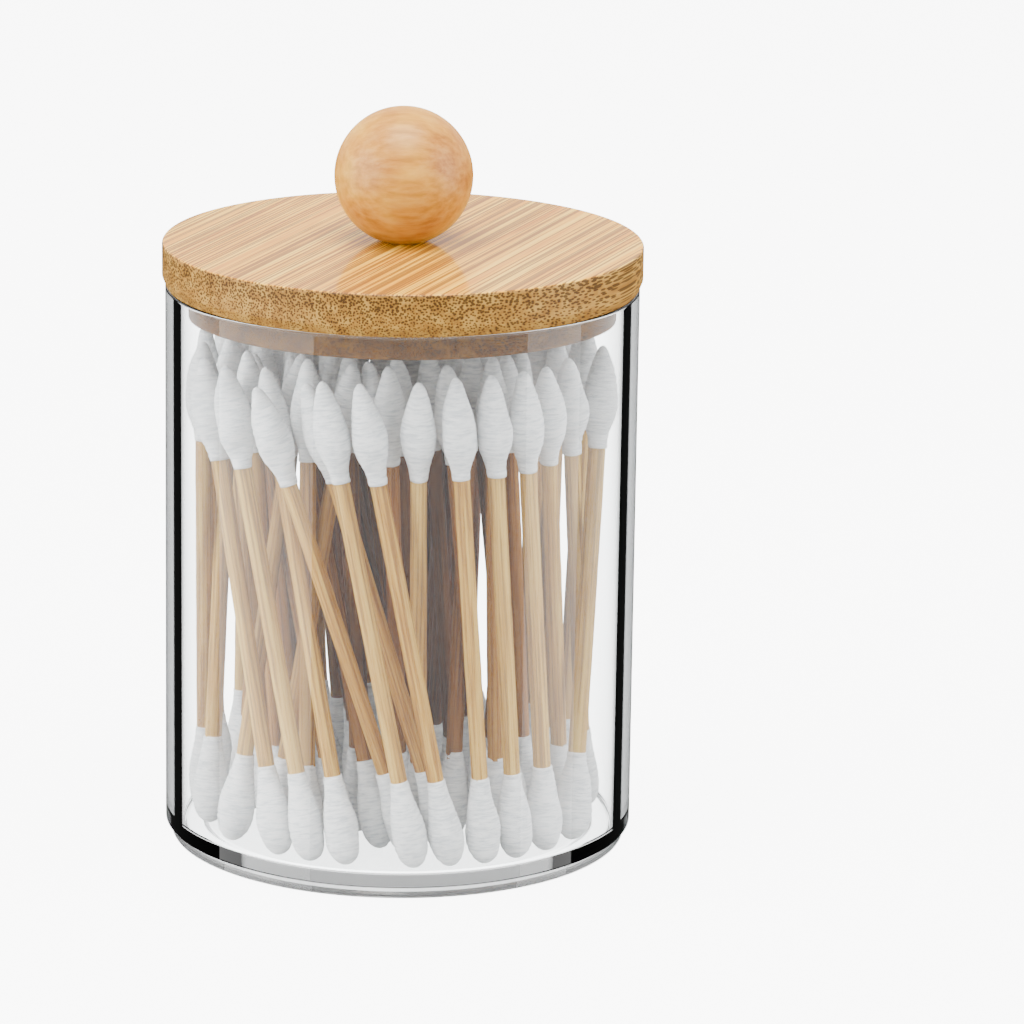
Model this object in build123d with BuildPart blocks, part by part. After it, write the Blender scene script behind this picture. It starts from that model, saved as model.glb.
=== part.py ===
# Cotton swab holder: a clear cup full of double-ended swabs, under a bamboo lid with a ball knob.
# Millimetres. The origin is the middle of the face that the cup stands on, and +Z is up.
# The side that faces the viewer is -Y.

import os

import numpy as np
from build123d import *

# Cup, one clear moulding
cup_radius = 37.0
cup_wall = 2.8
floor_height = 3.4
foot_inset = 1.0
foot_height = 2.1
base_ring_width = 5.0
base_recess_depth = 0.6
rim_chamfer = 0.4
floor_chamfer = 0.8

# Lid, one turned disc with a plug that drops into the cup
lid_overhang = 0.5
lid_thickness = 6.7
lid_top_chamfer = 0.4
lid_rim_bevel = 0.6
lid_rim_bevel_height = 1.5
plug_clearance = 0.8
plug_depth = 4.2
plug_chamfer = 0.5

# Ball knob and the countersunk screw that holds it from below
knob_radius = 10.8
knob_flat_depth = 0.4
knob_bands = 8
screw_radius = 1.75
screw_head_radius = 3.6
screw_sink = 0.3
screw_grip = 9.0
screw_tip_height = 2.5
screw_tip_radius = 0.4
screw_clearance = 0.1
driver_slot_length = 3.8
driver_slot_width = 0.8
driver_slot_depth = 1.0

# Swab, a stick with a round cotton bud on its lower end and a pointed one on its upper end
swab_length = 78.0
stick_radius = 1.25
collar_radius = 1.5
round_end_radius = 1.5
round_end_height = 2.4
round_bud_radius = 2.6
round_bud_belly = 4.6
round_bud_taper = 7.0
pointed_bud_taper = 6.5
pointed_bud_radius = 2.65
pointed_bud_belly = 0.5
point_height = 9.0
point_radius = 0.6
swab_sides = 5

# How the swabs stand in the cup
swab_count = 54
swab_clearance = 0.25
head_room = 3.15
hand_well_radius = 9.5
hand_well_depth = 22.0
lean_left = 7.0
lean_spread = 6.0
outward_lean = 1.25
settling_rounds = 900
settling_levels = 79
front_give = 0.2
candidate_feet = 40
arrangement_seed = 7

# Swabs that show at the front. Each has the angle and reach of its lower end, then of its tip.
# Angles are degrees from the front, positive to the right, and a reach of 1 is against the wall.
front_swabs = [
    (-35, 1.00, -70, 1.00),
    (-24, 1.00, -57, 1.00),
    (-14, 1.00, -51, 0.84),
    (-4, 0.76, -60, 0.66),
    (4, 0.84, -44, 1.00),
    (5, 1.00, -22, 1.00),
    (17, 0.76, -31, 0.86),
    (15, 1.00, -12, 1.00),
    (9, 0.60, 4.5, 1.00),
    (25, 1.00, 15, 1.00),
    (35, 1.00, 24.5, 1.00),
    (46, 1.00, 35, 1.00),
    (57, 1.00, 80, 1.00),
    (-72, 1.00, -82, 0.90),
    (-54, 1.00, -50, 0.66),
    (-44, 0.90, -22, 0.66),
    (-22, 0.72, -72, 0.76),
    (5, 0.50, -5, 0.72),
    (72, 0.86, 47, 0.94),
    (88, 1.00, 62, 1.00),
]

# Sizes that follow from the ones above
cup_bore = cup_radius - cup_wall
foot_radius = cup_radius - foot_inset
base_recess_radius = foot_radius - base_ring_width
plug_bottom = floor_height + swab_clearance + swab_length + head_room
cup_height = plug_bottom + plug_depth
lid_radius = cup_radius + lid_overhang
lid_top = cup_height + lid_thickness
plug_radius = cup_bore - plug_clearance
knob_center = lid_top + knob_radius - knob_flat_depth
screw_bore = screw_radius + screw_clearance
screw_head_face = plug_bottom + screw_sink
screw_neck = screw_head_face + screw_head_radius - screw_radius
screw_top = lid_top + screw_grip
round_bud_length = round_end_height + round_bud_belly + round_bud_taper
pointed_bud_length = pointed_bud_taper + pointed_bud_belly + point_height
pointed_bud_start = swab_length - pointed_bud_length
swab_widths = [
    (0.0, round_end_radius),
    (round_end_height, round_bud_radius),
    (round_bud_length - round_bud_taper, round_bud_radius),
    (round_bud_length, collar_radius),
    (round_bud_length, stick_radius),
    (pointed_bud_start, stick_radius),
    (pointed_bud_start, collar_radius),
    (pointed_bud_start + pointed_bud_taper, pointed_bud_radius),
    (swab_length - point_height, pointed_bud_radius),
    (swab_length, point_radius),
]


def polar(angles, reaches):
    """Points in the cup from angles in degrees from the front and reaches in millimetres."""
    turn = np.radians(angles)
    return np.stack([reaches * np.sin(turn), -reaches * np.cos(turn)], axis=-1)


def first_places():
    """Lower ends and tips of all swabs before they settle, as an array of swab, end and (x, y)."""
    draw = np.random.default_rng(arrangement_seed)
    free_reach = cup_bore - max(round_bud_radius, pointed_bud_radius) - swab_clearance
    chosen = np.array(front_swabs[:swab_count], dtype=float)
    feet = list(polar(chosen[:, 0], chosen[:, 1] * free_reach))
    tips = list(polar(chosen[:, 2], chosen[:, 3] * free_reach))
    while len(feet) < swab_count:
        # Of some random spots on the floor, the next swab takes the one farthest from the others
        reaches = free_reach * np.sqrt(draw.uniform(0, 1, candidate_feet))
        spots = polar(draw.uniform(0, 360, candidate_feet), reaches)
        apart = np.linalg.norm(spots[:, None] - np.array(feet), axis=2).min(axis=1)
        foot = spots[apart.argmax()]
        sway = np.array([draw.normal(-lean_left, lean_spread), draw.normal(0, lean_spread)])
        tip = foot * outward_lean + sway
        feet.append(foot)
        tips.append(tip * min(1.0, free_reach / np.linalg.norm(tip)))
    return np.stack([np.array(feet), np.array(tips)], axis=1)


def axis_spots(ends, shares):
    """Where each swab's axis is at each share of its height."""
    return ends[:, None, 0] * (1 - shares)[:, None] + ends[:, None, 1] * shares[:, None]


def settled_places():
    """The swabs' ends once no two swabs press into each other, the wall or the well on top."""
    ends = first_places()
    shares = np.linspace(0, 1, settling_levels)
    radii = np.interp(shares * swab_length, *zip(*swab_widths))
    give = np.where(np.arange(swab_count) < len(front_swabs), front_give, 1.0)
    one, two = np.triu_indices(swab_count, 1)
    in_well = (1 - shares) * swab_length < hand_well_depth
    lower_half = shares < 0.5
    for _ in range(settling_rounds):
        # A leaning swab's level section is longer than it is wide, by this much
        lean = np.linalg.norm(ends[:, 1] - ends[:, 0], axis=1) / swab_length
        widths = radii / np.sqrt(1 - lean**2)[:, None]

        # Each pair moves apart where it is closest, each end by its share of the way
        spots = axis_spots(ends, shares)
        between = spots[one] - spots[two]
        apart = np.linalg.norm(between, axis=2)
        short = widths[one] + widths[two] + swab_clearance - apart
        pairs = np.flatnonzero(short.max(axis=1) > 0)
        level = short[pairs].argmax(axis=1)
        away = between[pairs, level] / np.maximum(apart[pairs, level], 1e-6)[:, None]
        away = away * short[pairs, level][:, None]
        share = shares[level]
        first_give = give[one[pairs]] / (give[one[pairs]] + give[two[pairs]])
        for end, weight in ((0, 1 - share), (1, share)):
            reach = weight / (share**2 + (1 - share) ** 2)
            np.add.at(ends[:, end], one[pairs], 0.6 * away * (first_give * reach)[:, None])
            np.add.at(ends[:, end], two[pairs], -0.6 * away * ((1 - first_give) * reach)[:, None])

        # Tips stay out of the well in the middle, and everything stays inside the wall
        out = np.linalg.norm(axis_spots(ends, shares), axis=2)
        tip_out = np.maximum(np.linalg.norm(ends[:, 1], axis=1), 1e-6)
        into_well = np.where(in_well, hand_well_radius + widths - out, 0).max(axis=1)
        ends[:, 1] *= (1 + np.maximum(into_well, 0) / tip_out)[:, None]
        for end, half in ((0, lower_half), (1, ~lower_half)):
            into_wall = (out + widths + swab_clearance - cup_bore)[:, half].max(axis=1)
            end_out = np.maximum(np.linalg.norm(ends[:, end], axis=1), 1e-6)
            ends[:, end] *= (1 - np.maximum(into_wall, 0) / end_out)[:, None]
    return ends


def swab_plane(lower_end, tip):
    """The plane across a swab at its lower end, whose normal runs up the swab."""
    run_x, run_y = tip - lower_end
    run = np.hypot(run_x, run_y)
    rise = np.sqrt(swab_length**2 - run**2)
    # The rim of a leaning swab's end dips, so the axis starts that much higher above the floor
    start = floor_height + swab_clearance + round_end_radius * run / swab_length
    return Plane(origin=(lower_end[0], lower_end[1], start), z_dir=(run_x, run_y, rise))


os.makedirs("parts", exist_ok=True)

# The cup stands on a low ring round a shallow recess, and its wall steps out above the foot
with BuildPart() as jar:
    with BuildSketch(Plane.XZ):
        with BuildLine():
            Polyline(
                (0, base_recess_depth),
                (base_recess_radius - base_recess_depth, base_recess_depth),
                (base_recess_radius, 0),
                (foot_radius, 0),
                (foot_radius, foot_height),
                (cup_radius, foot_height),
                (cup_radius, cup_height - rim_chamfer),
                (cup_radius - rim_chamfer, cup_height),
                (cup_bore + rim_chamfer, cup_height),
                (cup_bore, cup_height - rim_chamfer),
                (cup_bore, floor_height + floor_chamfer),
                (cup_bore - floor_chamfer, floor_height),
                (0, floor_height),
                close=True,
            )
        make_face()
    revolve(axis=Axis.Z)
jar.part.label = "jar"
export_step(jar.part, "parts/jar.step")

# The disc rests on the cup's rim, and the plug below it centres it in the bore
with BuildPart() as lid:
    with BuildSketch(Plane.XY.offset(plug_bottom)):
        Circle(plug_radius)
    extrude(amount=plug_depth)
    chamfer(lid.edges().group_by(Axis.Z)[0], plug_chamfer)
    with BuildSketch(Plane.XY.offset(cup_height)):
        Circle(lid_radius)
    extrude(amount=lid_thickness)
    chamfer(lid.edges().group_by(Axis.Z)[-1], lid_top_chamfer)
    rim_edge = lid.edges().filter_by_position(Axis.Z, cup_height, cup_height).sort_by(SortBy.LENGTH)[-1]
    chamfer(rim_edge, lid_rim_bevel_height, lid_rim_bevel)
    with Locations(Plane(origin=(0, 0, plug_bottom), z_dir=(0, 0, -1))):
        CounterSinkHole(
            radius=screw_bore,
            counter_sink_radius=screw_head_radius + screw_sink + screw_clearance,
            counter_sink_angle=90,
        )
lid.part.label = "lid"
export_step(lid.part, "parts/lid.step")

# The ball is turned as narrow bands, with a small flat on the lid and a blind bore for the screw
flat_angle = np.arcsin(1 - knob_flat_depth / knob_radius)
below_waist = np.linspace(-flat_angle, 0, knob_bands // 2, endpoint=False)
above_waist = np.linspace(0, np.pi / 2, knob_bands // 2, endpoint=False)
with BuildPart() as knob:
    with BuildSketch(Plane.XZ):
        with BuildLine():
            Polyline(
                (0, lid_top),
                *[
                    (knob_radius * np.cos(turn), knob_center + knob_radius * np.sin(turn))
                    for turn in (*below_waist, *above_waist)
                ],
                (0, knob_center + knob_radius),
                close=True,
            )
        make_face()
    revolve(axis=Axis.Z)
    with BuildSketch(Plane.XY.offset(lid_top)):
        Circle(screw_bore)
    extrude(amount=screw_grip + screw_clearance, mode=Mode.SUBTRACT)
knob.part.label = "knob"
export_step(knob.part, "parts/knob.step")

# The screw's cone fills the countersink in the plug, and its shank runs up into the ball
with BuildPart() as knob_screw:
    with BuildSketch(Plane.XZ):
        with BuildLine():
            Polyline(
                (0, screw_head_face),
                (screw_head_radius, screw_head_face),
                (screw_radius, screw_neck),
                (screw_radius, screw_top - screw_tip_height),
                (screw_tip_radius, screw_top),
                (0, screw_top),
                close=True,
            )
        make_face()
    revolve(axis=Axis.Z)
    with BuildSketch(Plane.XY.offset(screw_head_face)):
        Rectangle(driver_slot_length, driver_slot_width)
        Rectangle(driver_slot_width, driver_slot_length)
    extrude(amount=driver_slot_depth, mode=Mode.SUBTRACT)
knob_screw.part.label = "knob_screw"
export_step(knob_screw.part, "parts/knob_screw.step")

# A swab's buds are wound onto its stick for good. Each bud has its start, radius and length,
# then the radius and length of the taper at its lower end and of the one at its upper end.
swab_buds = [
    (0, round_bud_radius, round_bud_length)
    + (round_end_radius, round_end_height, collar_radius, round_bud_taper),
    (pointed_bud_start, pointed_bud_radius, pointed_bud_length)
    + (collar_radius, pointed_bud_taper, point_radius, point_height),
]
with BuildPart() as straight_swab:
    for start, radius, length, low_radius, low_taper, high_radius, high_taper in swab_buds:
        with BuildSketch(Plane.XY.offset(start)):
            RegularPolygon(radius, swab_sides)
        extrude(amount=length)
        for end, end_radius, taper in ((-2, low_radius, low_taper), (-1, high_radius, high_taper)):
            end_face = straight_swab.faces().filter_by(Axis.Z).sort_by(Axis.Z)[end]
            inset = (radius - end_radius) * np.cos(np.pi / swab_sides)
            chamfer(end_face.edges(), inset, taper, reference=end_face)
    with BuildSketch(Plane.XY.offset(round_bud_length)):
        RegularPolygon(stick_radius, swab_sides)
    extrude(until=Until.NEXT)

for number, (lower_end, tip) in enumerate(settled_places(), start=1):
    with BuildPart() as swab:
        with Locations(swab_plane(lower_end, tip)):
            add(straight_swab.part)
    swab.part.label = f"swab_{number:02d}"
    export_step(swab.part, f"parts/swab_{number:02d}.step")
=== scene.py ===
# A clear jar of double-ended cotton swabs under a bamboo lid with a ball knob.
# Sizes are millimetres in the code and metres in the scene. The viewer stands on the -Y side.

import math

import bpy
import numpy as np
from mathutils import Matrix, Vector


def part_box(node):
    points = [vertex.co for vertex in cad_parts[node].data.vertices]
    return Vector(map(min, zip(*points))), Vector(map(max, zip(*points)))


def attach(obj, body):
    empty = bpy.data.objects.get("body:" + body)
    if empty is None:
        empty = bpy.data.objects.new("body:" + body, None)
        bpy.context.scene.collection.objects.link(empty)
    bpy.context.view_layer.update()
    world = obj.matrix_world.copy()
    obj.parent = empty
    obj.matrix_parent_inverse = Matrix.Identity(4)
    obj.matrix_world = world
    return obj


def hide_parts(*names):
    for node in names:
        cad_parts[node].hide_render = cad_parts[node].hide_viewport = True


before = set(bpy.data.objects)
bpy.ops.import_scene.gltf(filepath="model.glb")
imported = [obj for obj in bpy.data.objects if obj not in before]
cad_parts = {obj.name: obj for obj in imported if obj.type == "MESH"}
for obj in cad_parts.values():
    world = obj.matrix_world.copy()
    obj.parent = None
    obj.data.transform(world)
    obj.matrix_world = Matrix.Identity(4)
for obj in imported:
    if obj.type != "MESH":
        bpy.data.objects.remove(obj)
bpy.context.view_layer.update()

MM = 0.001

# Brightness of the white surround and of the floor: as they show, as they light matt surfaces,
# and as the object mirrors them. Mirrored white is dim, so that it doesn't veil the swabs.
SURROUND_SHOWN = 7.8
SURROUND_FILL = 0.6
SURROUND_MIRRORED = 1.0
BELOW_MIRRORED = 0.04
FLOOR_SHOWN = 7.5
FLOOR_FILL = 0.12
FLOOR_MIRRORED = 1.6
# The slope, down and up, within which the mirrored surround turns from dim to bright
HORIZON_BLUR = 0.05
# The floor's half width and its drop below the jar's foot, in metres
FLOOR_REACH = 6.0
FLOOR_DROP = 0.0002

# Softboxes in metres and watts: azimuth, distance, height, width, tallness, power
SOFTBOXES = {
    "left_softbox": (-70, 0.9, 0.15, 0.98, 1.2, 25.0),
    "right_softbox": (78, 0.9, 0.15, 0.55, 1.2, 13.5),
    "top_softbox": (0, 0.2, 1.1, 0.8, 0.8, 26.0),
}
SOFTBOX_MIRRORED = 0.45
SOFTBOX_AIM = (0, 0, 0.05)

# Camera, fitted to the rim, lid and foot of the jar in a 1024 x 1024 picture
SENSOR_WIDTH = 36.0
LENS = 200.3
CAMERA_PLACE = (0.0, -866.9, 287.7)
CAMERA_FORWARD = (0.01955, 0.96482, -0.26218)
CAMERA_RIGHT = (0.99976, -0.01633, 0.01444)

# Jar
JAR_RADIUS = 37.0
JAR_BORE = 34.2
JAR_FLOOR = 3.4
JAR_FOOT_RADIUS = 36.0
JAR_FOOT_HEIGHT = 2.1
JAR_RECESS_RADIUS = 31.0
JAR_RECESS_DEPTH = 0.6
JAR_CORNER_TOP = 4.5
# Slack for telling the faces of the jar and lid apart
WALL_SLACK = 0.05
LEVEL_SLACK = 0.01
RIM_SLACK = 0.1

# Lid and knob
PLUG_CLEARANCE = 0.8
LID_BEVEL = 0.6
LID_BEVEL_HEIGHT = 1.5
SCREW_HOLE_RADIUS = 1.85
SCREW_HOLE_DEPTH = 9.0
COUNTERSINK_RADIUS = 4.0
COUNTERSINK_DEPTH = 2.15
TURNED_STEPS = 256
BALL_STEPS = 144
BALL_RINGS = 72

# Swabs. A bud's profile is distance from its own end and radius. The stick runs on into the
# buds by the overlap, and a swab that leans stands higher by the lift times its lean.
STICK_RADIUS = 1.25
ROUND_BUD = [(0.0, 0.0), (0.12, 0.62), (0.5, 1.22), (1.3, 1.88), (2.6, 2.36), (4.6, 2.58),
             (7.0, 2.46), (9.5, 2.02), (11.6, 1.62), (13.2, 1.44), (14.0, 1.36)]
POINTED_BUD = [(0.0, 0.0), (0.1, 0.3), (0.6, 0.72), (2.0, 1.27), (4.0, 1.86), (6.4, 2.38),
               (9.0, 2.63), (11.4, 2.36), (13.2, 1.78), (14.4, 1.49), (16.0, 1.38)]
BUD_OVERLAP = 2.5
BUD_STEPS = 36
BUD_RINGS = 44
STICK_STEPS = 14
STICK_RINGS = 24
SOLID_SWAB_SIDES = 5
SWAB_CLEARANCE = 0.25
LEANING_LIFT = 1.4
SWAB_SEED = 5
# Unevenness: long soft lumps and fine winding ridges on a bud, which fade out toward its end,
# then the sticks' oval and wobble as shares of their radius
LUMPS = 7
LUMP_HEIGHT = 0.035
RIDGES = 5
RIDGE_HEIGHT = 0.018
SMOOTH_END = 0.4
STICK_OVAL = 0.025
STICK_WOBBLE = 0.01

# More swabs in the middle of the bundle. Each foot is the best of some random tries within a
# reach of the jar's axis. The lean of its tip is drawn with a mean and a spread, in X and in Y.
FILLER_COUNT = 36
FILLER_SEED = 21
FILLER_TRIES = 30
FILLER_DRAWN_WITHIN = 29.5
FILLER_SPREAD = 1.15
FILLER_LEAN = ((-6, 6), (0, 5))
# They are pushed apart round by round, at some levels and by a share of each overlap. A filler
# that still sinks deeper than the last value into another swab is left out.
FILLER_ROUNDS = 260
FILLER_LEVELS = 40
FILLER_PUSH = 0.7
FILLER_REACH = 31.2
FILLER_OVERLAP = 0.7
# The fingers' well in the middle of the tips, and room beside it for half a bud
WELL_RADIUS = 9.5
WELL_ROOM = 2.7

# Base colour of the acrylic from face on, 0, to edge on, 1. The dark and grey stops are painted
# reflections: dark edges standing in for the dark surroundings a clear wall refracts and mirrors on
# a white ground.
WALL_PAINTED_EDGE = [(0.0, "#FBFDFD"), (0.63, "#F4F6F7"), (0.65, "#000000"), (0.745, "#000000"),
             (0.765, "#B2B5B8"), (0.97, "#C0C3C5"), (1.0, "#8A8D90")]
CORNER_PAINTED_EDGE = [(0.0, "#FBFDFD"), (0.28, "#F4F6F7"), (0.30, "#000000"), (0.80, "#000000"),
               (0.9, "#A0A3A6")]

# Direction of the lid's fibres, from +X
GRAIN_ANGLE = math.radians(67.5)
# Bamboo tones: dark, middle and pale ground, then the fibre bundles. The plug's far darker tones
# are painted shade under the lid.
RIM_TONES = ("#7C5420", "#9C702E", "#B48A40", "#1E0E03")
TOP_TONES = ("#BC700A", "#E09C1E", "#F6C850", "#5E3206")
PLUG_SHADE_TONES = ("#50300C", "#6C4414", "#845A1E", "#1A0C03")
# Heights between which the lid's fibre bundles grow closer, toward the bamboo's skin
SKIN_START = 89.5
SKIN_END = 94.5


def linear(code):
    """Scene colour from a hex sRGB code."""
    values = [int(code[k:k + 2], 16) / 255 for k in (1, 3, 5)]
    values = [v / 12.92 if v <= 0.04045 else ((v + 0.055) / 1.055) ** 2.4 for v in values]
    return (*values, 1.0)


def material(name):
    """An empty node material with its Principled shader."""
    made = bpy.data.materials.new(name)
    made.use_nodes = True
    return made, made.node_tree.nodes["Principled BSDF"]


def feed(node, inputs):
    """Fills a node's inputs, by name or number, each with a socket, a hex colour or a value."""
    for key, value in inputs.items():
        if isinstance(value, bpy.types.NodeSocket):
            node.id_data.links.new(value, node.inputs[key])
        else:
            node.inputs[key].default_value = linear(value) if isinstance(value, str) else value


def add(made, kind, inputs, out=0, stops=(), **settings):
    """Adds a node with its settings, colour stops and inputs, and gives its output."""
    node = made.node_tree.nodes.new(kind)
    for key, value in settings.items():
        setattr(node, key, value)
    if stops:
        elements = node.color_ramp.elements
        while len(elements) < len(stops):
            elements.new(0.5)
        for element, (place, code) in zip(elements, stops):
            element.position = place
            element.color = linear(code)
    feed(node, inputs)
    return node.outputs[out]


def clear_acrylic(name, edge=(), roughness=0.0):
    """Injection-moulded clear acrylic: see-through, with thin clean reflections.

    Edge stops paint dark edges into its colour by the angle at which it is seen, as painted
    reflections of dark surroundings. Only the recess under the jar is frosted, which spreads the
    light of the floor.
    """
    made, shader = material(name)
    feed(shader, {"Base Color": "#FBFDFD", "Roughness": roughness, "IOR": 1.49,
                  "Transmission Weight": 1.0})
    if edge:
        # Painted reflections: the base colour turns dark near the edges by the angle of view
        facing = add(made, "ShaderNodeLayerWeight", {"Blend": 0.5}, out="Facing")
        feed(shader, {"Base Color": add(made, "ShaderNodeValToRGB", {"Fac": facing}, stops=edge)})
    return made


def bamboo(name, tones, coat):
    """Laminated bamboo, turned and sanded.

    Its fibre bundles run one way, so they show as fine dark streaks on the top and as dense dots
    on the rim. The coat is the lacquer, which mirrors the ball on the top and is nearly absent
    on the end grain of the rim.
    """
    made, shader = material(name)
    place = add(made, "ShaderNodeTexCoord", {}, out="Object")
    # After the turn, X lies across the fibres and Y along them
    turned = add(made, "ShaderNodeMapping",
                 {"Vector": place, "Rotation": (0, 0, math.pi / 2 - GRAIN_ANGLE)})

    def grain(across, along, up, detail, roughness=0.5):
        """Noise with this many features to the millimetre across, along and up."""
        stretched = add(made, "ShaderNodeMapping",
                        {"Vector": turned, "Scale": (across / MM, along / MM, up / MM)})
        return add(made, "ShaderNodeTexNoise",
                   {"Vector": stretched, "Scale": 1.0, "Detail": detail, "Roughness": roughness})

    # Laminated strips some 7 mm wide, slow drifts some 2 mm wide and fine fibres of 0.4 mm
    strips = grain(0.15, 0.003, 0.06, 1.0)
    drift = grain(0.52, 0.009, 0.52, 4.0, 0.62)
    fine = grain(2.6, 0.034, 2.6, 3.0, 0.6)
    ground = add(made, "ShaderNodeValToRGB", {"Fac": drift},
                 stops=[(0.36, tones[0]), (0.50, tones[1]), (0.62, tones[2])])
    strip_share = add(made, "ShaderNodeMath", {0: strips, 1: 0.5}, operation="MULTIPLY")
    ground = add(made, "ShaderNodeMix", {0: strip_share, 6: ground, 7: tones[1]}, out=2,
                 data_type="RGBA")
    pale = add(made, "ShaderNodeValToRGB", {"Fac": fine},
               stops=[(0.52, "#000000"), (0.66, "#FFFFFF")])
    pale_share = add(made, "ShaderNodeMath", {0: pale, 1: 0.5}, operation="MULTIPLY")
    ground = add(made, "ShaderNodeMix", {0: pale_share, 6: ground, 7: tones[2]}, out=2,
                 data_type="RGBA")

    # Dark fibre bundles, 2.35 to the millimetre
    cut = add(made, "ShaderNodeMapping",
              {"Vector": turned, "Scale": (2.35 / MM, 1.0, 2.35 / MM)})
    cut = add(made, "ShaderNodeSeparateXYZ", {"Vector": cut}).node.outputs
    cut = add(made, "ShaderNodeCombineXYZ", {"X": cut["X"], "Y": cut["Z"]})
    bundle = add(made, "ShaderNodeTexVoronoi", {"Vector": cut, "Scale": 1.0, "Randomness": 1.0},
                 out="Distance", voronoi_dimensions="2D")
    width = add(made, "ShaderNodeMath", {0: grain(0.7, 0.045, 0.7, 2.0), 1: 0.42},
                operation="MULTIPLY")
    height = add(made, "ShaderNodeSeparateXYZ", {"Vector": place}, out="Z")
    skin = add(made, "ShaderNodeMapRange",
               {"Value": height, "From Min": SKIN_START * MM, "From Max": SKIN_END * MM,
                "To Min": 0.1, "To Max": 0.26})
    reach = add(made, "ShaderNodeMath", {0: width, 1: skin}, operation="ADD")
    dark = add(made, "ShaderNodeMath", {0: reach, 1: bundle}, operation="SUBTRACT")
    dark = add(made, "ShaderNodeMath", {0: dark, 1: 10.0}, operation="MULTIPLY")
    dark = add(made, "ShaderNodeClamp", {"Value": dark})
    dark_share = add(made, "ShaderNodeMath", {0: dark, 1: 0.8}, operation="MULTIPLY")
    colour = add(made, "ShaderNodeMix", {0: dark_share, 6: ground, 7: tones[3]}, out=2,
                 data_type="RGBA")
    relief = add(made, "ShaderNodeMath", {0: fine, 1: dark}, operation="SUBTRACT")
    relief = add(made, "ShaderNodeBump", {"Height": relief, "Strength": 0.3, "Distance": 0.12 * MM})
    feed(shader, {"Base Color": colour, "Roughness": 0.5, "Specular IOR Level": 0.15,
                  "Coat Weight": coat, "Coat Roughness": 0.09, "Normal": relief})
    return made


def lacquered_wood():
    """Turned honey-coloured wood under a satin lacquer: mottled, with wide soft highlights."""
    made, shader = material("lacquered_honey_wood")
    place = add(made, "ShaderNodeTexCoord", {}, out="Object")
    # Flecks some 1 mm wide and 6 mm long, over clouds some 11 mm wide
    long_way = add(made, "ShaderNodeMapping",
                   {"Vector": place, "Rotation": (0.15, 0.1, 0.35),
                    "Scale": (0.17 / MM, 0.9 / MM, 0.9 / MM)})
    fleck = add(made, "ShaderNodeTexNoise",
                {"Vector": long_way, "Scale": 1.0, "Detail": 4.0, "Roughness": 0.6})
    cloud = add(made, "ShaderNodeTexNoise", {"Vector": place, "Scale": 0.09 / MM, "Detail": 3.0})
    ground = add(made, "ShaderNodeValToRGB", {"Fac": cloud},
                 stops=[(0.38, "#A66608"), (0.50, "#CA8C12"), (0.62, "#E0AC30")])
    flecks = add(made, "ShaderNodeValToRGB", {"Fac": fleck},
                 stops=[(0.34, "#8E5216"), (0.48, "#BE7C2E"), (0.66, "#D8A050")])
    colour = add(made, "ShaderNodeMix", {0: 0.45, 6: ground, 7: flecks}, out=2, data_type="RGBA")
    relief = add(made, "ShaderNodeBump", {"Height": fleck, "Strength": 0.08, "Distance": 0.1 * MM})
    feed(shader, {"Base Color": colour, "Roughness": 0.45, "Specular IOR Level": 0.2,
                  "Coat Weight": 0.5, "Coat Roughness": 0.32, "Normal": relief})
    return made


def zinc_steel():
    """Zinc-plated steel of the knob's screw: a pale metal, slightly clouded by the plating."""
    made, shader = material("zinc_plated_steel")
    place = add(made, "ShaderNodeTexCoord", {}, out="Object")
    haze = add(made, "ShaderNodeTexNoise", {"Vector": place, "Scale": 0.9 / MM, "Detail": 3.0})
    tone = add(made, "ShaderNodeValToRGB", {"Fac": haze},
               stops=[(0.3, "#A9ABAE"), (0.7, "#C9CBCD")])
    feed(shader, {"Base Color": tone, "Metallic": 1.0, "Roughness": 0.32})
    return made


def swab_noise(made, across, along, detail, roughness=0.5):
    """Noise in a swab's own coordinates, with this many features to the millimetre."""
    own = add(made, "ShaderNodeAttribute", {}, out="Vector", attribute_name="own_place")
    stretched = add(made, "ShaderNodeMapping", {"Vector": own, "Scale": (across, across, along)})
    return add(made, "ShaderNodeTexNoise",
               {"Vector": stretched, "Scale": 1.0, "Detail": detail, "Roughness": roughness})


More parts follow.
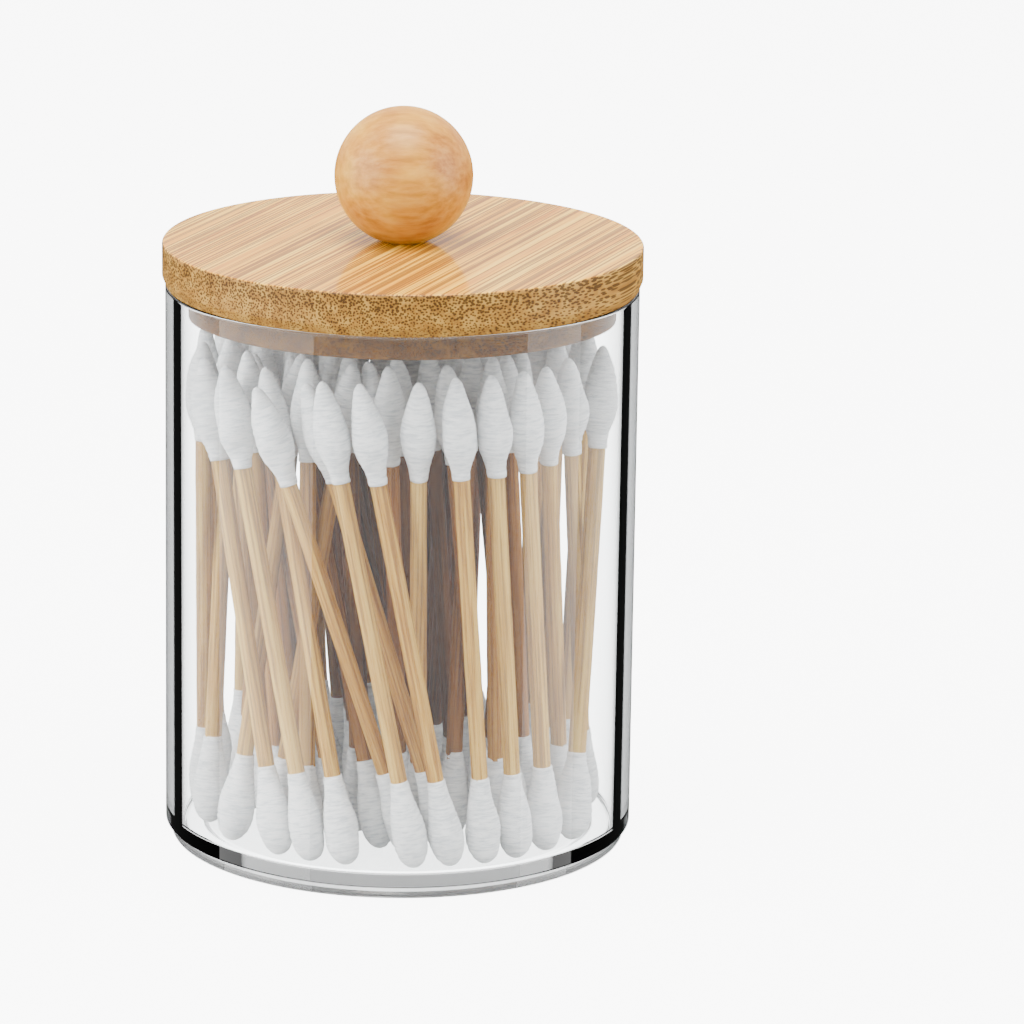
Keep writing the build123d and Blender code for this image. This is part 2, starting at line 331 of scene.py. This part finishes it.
def stick_wood():
    """Plain bamboo stick, split and rounded: matt and pale, with long dark grain lines."""
    made, shader = material("plain_bamboo_stick")
    grain = swab_noise(made, 2.6, 0.045, 5.0, 0.62)
    patch = swab_noise(made, 0.3, 0.05, 2.0)
    tint = add(made, "ShaderNodeAttribute", {}, out="Fac", attribute_name="tint")
    ground = add(made, "ShaderNodeValToRGB", {"Fac": grain},
                 stops=[(0.40, "#74460C"), (0.48, "#C89430"), (0.57, "#E8C464")])
    warm = add(made, "ShaderNodeValToRGB", {"Fac": tint},
               stops=[(0.0, "#B8802A"), (1.0, "#E6C27A")])
    colour = add(made, "ShaderNodeMix", {0: 0.35, 6: ground, 7: warm}, out=2, data_type="RGBA")
    patch_share = add(made, "ShaderNodeMath", {0: patch, 1: 0.3}, operation="MULTIPLY")
    colour = add(made, "ShaderNodeMix", {0: patch_share, 6: colour, 7: "#B47A2C"}, out=2,
                 data_type="RGBA")
    # The real bundle is thicker than the modelled one, so less light reaches its middle
    place = add(made, "ShaderNodeTexCoord", {}, out="Object")
    level = add(made, "ShaderNodeMapping", {"Vector": place, "Scale": (1, 1, 0)})
    reach = add(made, "ShaderNodeVectorMath", {0: level}, out="Value", operation="LENGTH")
    reach = add(made, "ShaderNodeMath", {0: reach, 1: 1000 / JAR_BORE}, operation="MULTIPLY")
    depth = add(made, "ShaderNodeValToRGB", {"Fac": reach},
                stops=[(0.35, "#7A5626"), (0.62, "#C6A674"), (0.86, "#FFFFFF")])
    colour = add(made, "ShaderNodeMix", {0: 1.0, 6: colour, 7: depth}, out=2,
                 data_type="RGBA", blend_type="MULTIPLY")
    relief = add(made, "ShaderNodeBump", {"Height": grain, "Strength": 0.3, "Distance": 0.15 * MM})
    feed(shader, {"Base Color": colour, "Roughness": 0.6, "Normal": relief})
    return made


def cotton():
    """Matt white cotton wound round the stick.

    It shows soft lines round the bud, with painted shade in the grooves between them. Real fibres
    are some 0.02 mm thick, too fine to show, so the lines are drawn some 0.4 mm apart.
    """
    made, shader = material("wound_cotton")
    wound = swab_noise(made, 0.4, 2.6, 5.0, 0.72)
    tuft = swab_noise(made, 0.5, 0.6, 3.0)
    # Painted shade: the low parts of the winding are darker, as in the grooves between the lines
    shade = add(made, "ShaderNodeValToRGB", {"Fac": wound},
                stops=[(0.38, "#CDD1D4"), (0.49, "#EBECEC"), (0.57, "#FBFBFA")])
    tuft_share = add(made, "ShaderNodeMath", {0: tuft, 1: 0.3}, operation="MULTIPLY")
    colour = add(made, "ShaderNodeMix", {0: tuft_share, 6: shade, 7: "#E6E6E6"}, out=2,
                 data_type="RGBA")
    relief = add(made, "ShaderNodeBump", {"Height": wound, "Strength": 0.6, "Distance": 0.4 * MM})
    feed(shader, {"Base Color": colour, "Roughness": 0.95, "Sheen Weight": 0.25,
                  "Subsurface Weight": 0.15, "Subsurface Radius": (1.0, 0.95, 0.9),
                  "Subsurface Scale": 0.8 * MM, "Normal": relief})
    return made


def piece(name, points, faces, body, made, replaced=(), attributes=None, sharp=None):
    """A smooth-shaded mesh piece in millimetres that rides on a body."""
    mesh = bpy.data.meshes.new(name)
    mesh.from_pydata((np.asarray(points) * MM).tolist(), [], faces)
    mesh.materials.append(made)
    mesh.polygons.foreach_set("use_smooth", [True] * len(mesh.polygons))
    for key, (kind, values) in (attributes or {}).items():
        layer = mesh.attributes.new(key, kind, "POINT")
        layer.data.foreach_set("vector" if kind == "FLOAT_VECTOR" else "value", np.ravel(values))
    if sharp:
        mesh.set_sharp_from_angle(angle=math.radians(sharp))
    mesh.validate()
    thing = bpy.data.objects.new(name, mesh)
    bpy.context.scene.collection.objects.link(thing)
    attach(thing, body)
    if replaced:
        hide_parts(*replaced)
    return thing


def rounded(corners, steps=5):
    """An outline of (radius, height) points from corners of (radius, height, corner radius)."""
    outline = []
    for k, (r, z, bend) in enumerate(corners):
        here = np.array([r, z])
        if bend == 0:
            outline.append((r, z))
            continue
        before = np.array(corners[k - 1][:2]) - here
        after = np.array(corners[(k + 1) % len(corners)][:2]) - here
        before = before / np.linalg.norm(before)
        after = after / np.linalg.norm(after)
        half = math.acos(np.clip(before @ after, -1, 1)) / 2
        reach = bend / math.tan(half)
        middle = here + (before + after) / np.linalg.norm(before + after) * bend / math.sin(half)
        start = here + before * reach - middle
        end = here + after * reach - middle
        sweep = math.atan2(start[0] * end[1] - start[1] * end[0], start @ end)
        for share in np.linspace(0, 1, steps):
            c, s = math.cos(sweep * share), math.sin(sweep * share)
            outline.append((middle[0] + c * start[0] - s * start[1],
                            middle[1] + s * start[0] + c * start[1]))
    return outline


def held(outline, closed, hold=0.03, long=0.3):
    """The outline with a point beside each end of a long stretch, so that it shades flat."""
    points = [np.array(p) for p in outline]
    kept = []
    for k, here in enumerate(points):
        kept.append(tuple(here))
        if k + 1 == len(points) and not closed:
            break
        step = points[(k + 1) % len(points)] - here
        length = np.linalg.norm(step)
        if length > long:
            kept.append(tuple(here + step * hold / length))
            kept.append(tuple(here + step * (1 - hold / length)))
    return kept


def lathe(outline, segments, closed=True):
    """Points and faces of an outline of (radius, height) turned about Z."""
    outline = held(outline, closed)
    turn = np.linspace(0, 2 * math.pi, segments, endpoint=False)
    points, rings = [], []
    for r, z in outline:
        if r < 1e-6:
            rings.append([len(points)])
            points.append((0.0, 0.0, z))
        else:
            rings.append(list(range(len(points), len(points) + segments)))
            points.extend((r * math.cos(a), r * math.sin(a), z) for a in turn)
    faces = []
    pairs = list(zip(rings, rings[1:] + rings[:1])) if closed else list(zip(rings, rings[1:]))
    for low, high in pairs:
        for k in range(segments):
            n = (k + 1) % segments
            if len(low) == 1 and len(high) == 1:
                continue
            if len(low) == 1:
                faces.append((low[0], high[n], high[k]))
            elif len(high) == 1:
                faces.append((low[k], low[n], high[0]))
            else:
                faces.append((low[k], low[n], high[n], high[k]))
    return points, faces


def make_jar(clear, wall, corner, underside):
    """The clear jar, with the small moulded radii of its edges."""
    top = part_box("jar")[1].z / MM
    outline = rounded([
        (0, JAR_RECESS_DEPTH, 0),
        (JAR_RECESS_RADIUS - JAR_RECESS_DEPTH, JAR_RECESS_DEPTH, 0.5),
        (JAR_RECESS_RADIUS, 0, 0.3),
        (JAR_FOOT_RADIUS, 0, 0.4),
        (JAR_FOOT_RADIUS, JAR_FOOT_HEIGHT, 0.15),
        (JAR_RADIUS, JAR_FOOT_HEIGHT, 0.3),
        (JAR_RADIUS, JAR_CORNER_TOP, 0),
        (JAR_RADIUS, top, 0.45),
        (JAR_BORE, top, 0.45),
        (JAR_BORE, JAR_FLOOR, 0.8),
        (0, JAR_FLOOR, 0),
    ])
    points, faces = lathe(outline, TURNED_STEPS, closed=False)
    jar = piece("jar_cup", points, faces, "jar", clear, ["jar"], sharp=30)
    for made in (wall, corner, underside):
        jar.data.materials.append(made)
    # Face materials: 1 for the outer wall and 2 for its bottom corner, both with painted dark
    # edges, 3 for the recess below
    for face in jar.data.polygons:
        reach = max(Vector(jar.data.vertices[k].co[:2]).length for k in face.vertices) / MM
        low = min(jar.data.vertices[k].co.z for k in face.vertices) / MM
        high = max(jar.data.vertices[k].co.z for k in face.vertices) / MM
        if reach > JAR_RADIUS - WALL_SLACK and low > JAR_FOOT_HEIGHT and high < top:
            face.material_index = 2 if high < JAR_CORNER_TOP + LEVEL_SLACK else 1
        elif high < JAR_RECESS_DEPTH + LEVEL_SLACK and reach < JAR_RECESS_RADIUS:
            face.material_index = 3
    # Lights reach the swabs straight through the clear wall
    jar.visible_shadow = False
    return jar


def make_lid(rim_made, top_made, shaded_plug_made):
    """The turned lid, with its plug and the countersink for the screw."""
    low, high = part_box("lid")
    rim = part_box("jar")[1].z / MM
    bottom, top, radius = low.z / MM, high.z / MM, high.x / MM
    plug = JAR_BORE - PLUG_CLEARANCE
    outline = rounded([
        (SCREW_HOLE_RADIUS, bottom + COUNTERSINK_DEPTH, 0),
        (COUNTERSINK_RADIUS, bottom, 0),
        (plug, bottom, 0.6),
        (plug, rim, 0.2),
        (radius - LID_BEVEL, rim, 0.25),
        (radius, rim + LID_BEVEL_HEIGHT, 0.3),
        (radius, top, 0.45),
        (SCREW_HOLE_RADIUS, top, 0),
    ])
    points, faces = lathe(outline, TURNED_STEPS)
    disc = piece("bamboo_lid", points, faces, "lid", rim_made, ["lid"], sharp=40)
    disc.data.materials.append(top_made)
    disc.data.materials.append(shaded_plug_made)
    # Face materials: 1 for the top, 2 for the plug, whose darker tones are painted shade under the
    # lid
    for face in disc.data.polygons:
        if face.normal.z > 0.8:
            face.material_index = 1
        elif face.center.z < (rim - RIM_SLACK) * MM:
            face.material_index = 2
    return disc


def make_knob(made):
    """The ball knob, with its small flat on the lid."""
    low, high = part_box("knob")
    radius = high.x / MM
    centre = high.z / MM - radius
    flat = math.asin((centre - low.z / MM) / radius)
    outline = [(radius * math.cos(a), centre + radius * math.sin(a))
               for a in np.linspace(-flat, math.pi / 2, BALL_RINGS)]
    outline[-1] = (0, centre + radius)
    bottom = low.z / MM
    hole = [(SCREW_HOLE_RADIUS, bottom + SCREW_HOLE_DEPTH), (SCREW_HOLE_RADIUS, bottom)]
    points, faces = lathe(hole + outline, BALL_STEPS, closed=False)
    return piece("ball_knob", points, faces, "lid", made, ["knob"], sharp=50)


def swab_ends(name):
    """Lower end and tip of a swab node's axis, in millimetres."""
    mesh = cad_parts[name].data
    spots = np.unique(np.round([v.co for v in mesh.vertices], 7), axis=0) / MM
    spots = spots[spots[:, 2].argsort()]
    return spots[:SOLID_SWAB_SIDES].mean(axis=0), spots[-SOLID_SWAB_SIDES:].mean(axis=0)


def level_widths(levels, length):
    """A swab's radius at each share of its length, from lower end to tip."""
    along = np.array(levels) * length
    low = np.interp(along, *zip(*ROUND_BUD))
    high = np.interp(length - along, *zip(*POINTED_BUD))
    on_pointed_bud = length - along < POINTED_BUD[-1][0]
    bud = np.where(along < ROUND_BUD[-1][0], low, np.where(on_pointed_bud, high, 0))
    return np.maximum(STICK_RADIUS, bud)


def filler_places(ends, length):
    """Ends of more swabs in the middle of the bundle, pushed clear of the others and the wall."""
    draw = np.random.default_rng(FILLER_SEED)
    fixed = len(ends)
    feet = [list(e) for e in ends[:, 0]]
    extra = []
    for _ in range(FILLER_COUNT):
        # Of some random feet, the one farthest from the others is kept
        reach = FILLER_DRAWN_WITHIN * np.sqrt(draw.uniform(0, 1, FILLER_TRIES))
        turn = draw.uniform(0, 2 * math.pi, FILLER_TRIES)
        spots = np.stack([reach * np.cos(turn), reach * np.sin(turn)], axis=1)
        apart = np.linalg.norm(spots[:, None] - np.array(feet), axis=2).min(axis=1)
        foot = spots[apart.argmax()]
        tip = foot * FILLER_SPREAD + np.array([draw.normal(*lean) for lean in FILLER_LEAN])
        tip = tip * min(1, FILLER_DRAWN_WITHIN / np.linalg.norm(tip))
        feet.append(list(foot))
        extra.append([foot, tip])
    ends = np.concatenate([ends, np.array(extra)])
    levels = np.linspace(0, 1, FILLER_LEVELS)
    # The solid swabs stay where they are, and only the fillers give way
    give = np.where(np.arange(len(ends)) < fixed, 0.0, 1.0)
    one, two = np.triu_indices(len(ends), 1)
    keep = give[one] + give[two] > 0
    one, two = one[keep], two[keep]
    for _ in range(FILLER_ROUNDS):
        run = np.linalg.norm(ends[:, 1] - ends[:, 0], axis=1) / length
        widths = level_widths(levels, length) / np.sqrt(1 - run**2)[:, None]
        spots = ends[:, None, 0] * (1 - levels)[:, None] + ends[:, None, 1] * levels[:, None]
        between = spots[one] - spots[two]
        apart = np.linalg.norm(between, axis=2)
        short = widths[one] + widths[two] - apart
        pairs = np.flatnonzero(short.max(axis=1) > 0)
        level = short[pairs].argmax(axis=1)
        away = between[pairs, level] / np.maximum(apart[pairs, level], 1e-6)[:, None]
        away = away * short[pairs, level][:, None]
        share = levels[level]
        first = give[one[pairs]] / (give[one[pairs]] + give[two[pairs]])
        for end, weight in ((0, 1 - share), (1, share)):
            part = weight / (share**2 + (1 - share) ** 2)
            push = FILLER_PUSH * away
            np.add.at(ends[:, end], one[pairs], push * (first * part)[:, None])
            np.add.at(ends[:, end], two[pairs], -push * ((1 - first) * part)[:, None])
        out = np.linalg.norm(ends, axis=2)
        shrink = np.minimum(1, FILLER_REACH / np.maximum(out, 1e-6))
        grow = np.ones_like(shrink)
        grow[:, 1] = np.maximum(1, (WELL_RADIUS + WELL_ROOM) / np.maximum(out[:, 1], 1e-6))
        ends[fixed:] *= (shrink * grow)[fixed:, :, None]
    worst = np.zeros(len(ends))
    np.maximum.at(worst, one, np.where(give[one] > 0, short.max(axis=1), 0))
    np.maximum.at(worst, two, np.where(give[two] > 0, short.max(axis=1), 0))
    return ends[fixed:][worst[fixed:] < FILLER_OVERLAP]


def smooth_profile(knots, count):
    """Evenly spaced (distance, radius) points on a smooth curve through the knots."""
    knots = np.array(knots)
    steps = np.concatenate([[0], np.cumsum(np.linalg.norm(np.diff(knots, axis=0), axis=1))])
    slopes = np.gradient(knots, steps, axis=0)
    places = np.linspace(0, steps[-1], count)
    k = np.clip(np.searchsorted(steps, places, side="right") - 1, 0, len(knots) - 2)
    span = (steps[k + 1] - steps[k])[:, None]
    t = (places - steps[k])[:, None] / span
    return ((2 * t**3 - 3 * t**2 + 1) * knots[k] + (t**3 - 2 * t**2 + t) * slopes[k] * span
            + (3 * t**2 - 2 * t**3) * knots[k + 1] + (t**3 - t**2) * slopes[k + 1] * span)


def wound_bud(profile, draw):
    """A cotton bud's own points about Z, with wound ridges and soft lumps, and its faces."""
    along, radius = smooth_profile(profile, BUD_RINGS).T
    radius = np.maximum(radius, 0)
    turn = np.linspace(0, 2 * math.pi, BUD_STEPS, endpoint=False)
    s, a = np.meshgrid(along, turn, indexing="ij")
    swell = np.zeros_like(s)
    # Soft lumps, then the turns of the winding
    for _ in range(LUMPS):
        waves = draw.integers(0, 4)
        wave = np.sin(waves * a + s * draw.uniform(0.2, 1.1) + draw.uniform(0, 6.3))
        swell += LUMP_HEIGHT * wave
    for _ in range(RIDGES):
        waves = draw.integers(1, 3) * draw.choice([-1, 1])
        wave = np.sin(waves * a + s * draw.uniform(3.5, 7.5) + draw.uniform(0, 6.3))
        swell += RIDGE_HEIGHT * wave
    r = radius[:, None] + swell * np.clip(radius[:, None] - SMOOTH_END, 0, 1)
    points = np.stack([r * np.cos(a), r * np.sin(a), s], axis=2)[1:].reshape(-1, 3)
    points = np.concatenate([[[0, 0, along[0]]], points])
    faces = [(0, 1 + (k + 1) % BUD_STEPS, 1 + k) for k in range(BUD_STEPS)]
    for low in range(1, 1 + (BUD_RINGS - 2) * BUD_STEPS, BUD_STEPS):
        high = low + BUD_STEPS
        for k in range(BUD_STEPS):
            n = (k + 1) % BUD_STEPS
            faces.append((low + k, low + n, high + n, high + k))
    faces.append(tuple(range(len(points) - BUD_STEPS, len(points))))
    return points, faces


def stick(draw, length):
    """A stick's own points about Z, very slightly uneven, and its faces. It ends in the buds."""
    turn = np.linspace(0, 2 * math.pi, STICK_STEPS, endpoint=False)
    heights = np.linspace(ROUND_BUD[-1][0] - BUD_OVERLAP, length - POINTED_BUD[-1][0] + BUD_OVERLAP,
                          STICK_RINGS)
    wobble = 1 + STICK_OVAL * np.sin(2 * turn + draw.uniform(0, 6.3))[None, :]
    wobble = wobble + STICK_WOBBLE * draw.normal(size=(STICK_RINGS, 1))
    r = STICK_RADIUS * wobble
    heights = np.broadcast_to(heights[:, None], r.shape)
    points = np.stack([r * np.cos(turn), r * np.sin(turn), heights], axis=2).reshape(-1, 3)
    faces = []
    for low in range(0, (STICK_RINGS - 1) * STICK_STEPS, STICK_STEPS):
        high = low + STICK_STEPS
        for k in range(STICK_STEPS):
            n = (k + 1) % STICK_STEPS
            faces.append((low + k, low + n, high + n, high + k))
    faces.append(tuple(reversed(range(STICK_STEPS))))
    faces.append(tuple(range(len(points) - STICK_STEPS, len(points))))
    return points, faces


def make_swab(name, lower, tip, made_stick, made_cotton, draw, replaced=()):
    """A stick with its round bud below and its pointed bud above, between two points."""
    axis = Vector(tip - lower)
    length = axis.length
    spin = Matrix.Rotation(draw.uniform(0, 6.28), 3, "Z")
    turn = np.array(axis.to_track_quat("Z", "Y").to_matrix() @ spin)
    tint = draw.uniform(0, 1)
    shift = draw.uniform(-200, 200, 3)
    forms = [("stick", stick(draw, length), made_stick)]
    points, faces = wound_bud(ROUND_BUD, draw)
    forms.append(("round_bud", (points, faces), made_cotton))
    points, faces = wound_bud(POINTED_BUD, draw)
    points = points * [1, 1, -1] + [0, 0, length]
    forms.append(("pointed_bud", (points, [tuple(reversed(f)) for f in faces]), made_cotton))
    for part, (points, faces), made in forms:
        attributes = {"own_place": ("FLOAT_VECTOR", points + shift),
                      "tint": ("FLOAT", np.full(len(points), tint))}
        piece(f"{name}_{part}", points @ turn.T + lower, faces, "jar", made,
              replaced, attributes)
        replaced = ()


def make_swabs(made_stick, made_cotton):
    """The swabs of the frame, each in three pieces, and the fillers between them."""
    draw = np.random.default_rng(SWAB_SEED)
    names = sorted(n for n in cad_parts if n.startswith("swab_"))
    found = [swab_ends(n) for n in names]
    for name, (lower, tip) in zip(names, found):
        make_swab(name, lower, tip, made_stick, made_cotton, draw, [name])
    length = float(np.median([np.linalg.norm(tip - lower) for lower, tip in found]))
    ends = np.array([[lower[:2], tip[:2]] for lower, tip in found])
    for k, (low, high) in enumerate(filler_places(ends, length)):
        run = np.linalg.norm(high - low)
        # A leaning swab stands on the side of its round end, so its axis starts higher
        start = JAR_FLOOR + SWAB_CLEARANCE + LEANING_LIFT * run / length
        tip = np.array([*high, start + math.sqrt(length**2 - run**2)])
        make_swab(f"inner_swab_{k + 1:02d}", np.array([*low, start]), tip, made_stick,
                  made_cotton, draw)


def by_path(made, shown, mirrored, fill):
    """A strength for what the camera sees, for what is mirrored and for light on matt surfaces."""
    path = add(made, "ShaderNodeLightPath", {}).node.outputs
    seen = add(made, "ShaderNodeMix", {"Factor": path["Glossy Depth"], "A": shown, "B": mirrored})
    return add(made, "ShaderNodeMix", {"Factor": path["Diffuse Depth"], "A": seen, "B": fill})


def make_floor():
    """Plain pale floor, a little below the jar's foot."""
    made, shader = material("pale_floor")
    glow = by_path(made, FLOOR_SHOWN, FLOOR_MIRRORED, FLOOR_FILL)
    feed(shader, {"Base Color": "#BDBDBC", "Roughness": 0.8, "Emission Color": "#FFFFFF",
                  "Emission Strength": glow})
    mesh = bpy.data.meshes.new("floor")
    corners = [(-1, -1), (1, -1), (1, 1), (-1, 1)]
    mesh.from_pydata([(FLOOR_REACH * x, FLOOR_REACH * y, -FLOOR_DROP) for x, y in corners], [],
                     [(0, 1, 2, 3)])
    mesh.materials.append(made)
    floor = bpy.data.objects.new("floor", mesh)
    bpy.context.scene.collection.objects.link(floor)
    # The object mirrors the dim studio instead of the white floor
    floor.visible_glossy = False


def around(azimuth, distance, height):
    """A place in metres round the jar. Azimuth 0 is the viewer's side and 90 is the right."""
    turn = math.radians(azimuth)
    return Vector((distance * math.sin(turn), -distance * math.cos(turn), height))


def softbox(name, azimuth, distance, height, width, tall, power):
    """A rectangular studio light that faces the jar."""
    data = bpy.data.lights.new(name, "AREA")
    data.shape = "RECTANGLE"
    data.size = width
    data.size_y = tall
    data.energy = power
    # Mirrored in the clear wall, a softbox is dimmer than its light on the object
    data.use_nodes = True
    mirrors = add(data, "ShaderNodeLightPath", {}, out="Glossy Depth")
    strength = add(data, "ShaderNodeMapRange",
                   {"Value": mirrors, "To Min": 1.0, "To Max": SOFTBOX_MIRRORED})
    feed(data.node_tree.nodes["Emission"], {"Strength": strength})
    light = bpy.data.objects.new(name, data)
    light.location = around(azimuth, distance, height)
    light.rotation_mode = "QUATERNION"
    aim = Vector(SOFTBOX_AIM) - light.location
    light.rotation_quaternion = aim.to_track_quat("-Z", "Y")
    bpy.context.scene.collection.objects.link(light)


def make_light():
    """The white surround and the three softboxes."""
    world = bpy.data.worlds.new("studio")
    world.use_nodes = True
    way = add(world, "ShaderNodeTexCoord", {}, out="Generated")
    rise = add(world, "ShaderNodeSeparateXYZ", {"Vector": way}, out="Z")
    mirrored = add(world, "ShaderNodeMapRange",
                   {"Value": rise, "From Min": -HORIZON_BLUR, "From Max": HORIZON_BLUR,
                    "To Min": BELOW_MIRRORED, "To Max": SURROUND_MIRRORED})
    strength = by_path(world, SURROUND_SHOWN, mirrored, SURROUND_FILL)
    feed(world.node_tree.nodes["Background"], {"Color": "#FFFFFF", "Strength": strength})
    bpy.context.scene.world = world
    for name, box in SOFTBOXES.items():
        softbox(name, *box)


def make_camera():
    """The photograph's own view."""
    data = bpy.data.cameras.new("camera")
    data.sensor_width = SENSOR_WIDTH
    data.lens = LENS
    data.clip_start = 0.05
    data.clip_end = 50
    camera = bpy.data.objects.new("camera", data)
    forward = Vector(CAMERA_FORWARD).normalized()
    right = Vector(CAMERA_RIGHT).normalized()
    up = right.cross(forward)
    camera.matrix_world = Matrix((right, up, -forward)).transposed().to_4x4()
    camera.location = Vector(CAMERA_PLACE) * MM
    bpy.context.scene.collection.objects.link(camera)
    bpy.context.scene.camera = camera


make_camera()
make_jar(
    clear_acrylic("clear_acrylic"),
    # The wall and its bottom corner carry painted dark edges
    clear_acrylic("clear_acrylic_wall", WALL_PAINTED_EDGE),
    clear_acrylic("clear_acrylic_corner", CORNER_PAINTED_EDGE),
    clear_acrylic("frosted_acrylic_underside", roughness=0.4),
)
make_lid(
    bamboo("satin_bamboo_rim", RIM_TONES, 0.05),
    bamboo("lacquered_bamboo_top", TOP_TONES, 0.6),
    # The plug's dark tones are painted shade under the lid
    bamboo("bare_bamboo_plug_painted_shade", PLUG_SHADE_TONES, 0.0),
)
make_knob(lacquered_wood())
knob_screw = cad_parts["knob_screw"].data
knob_screw.materials.clear()
knob_screw.materials.append(zinc_steel())
make_swabs(stick_wood(), cotton())
make_floor()
make_light()
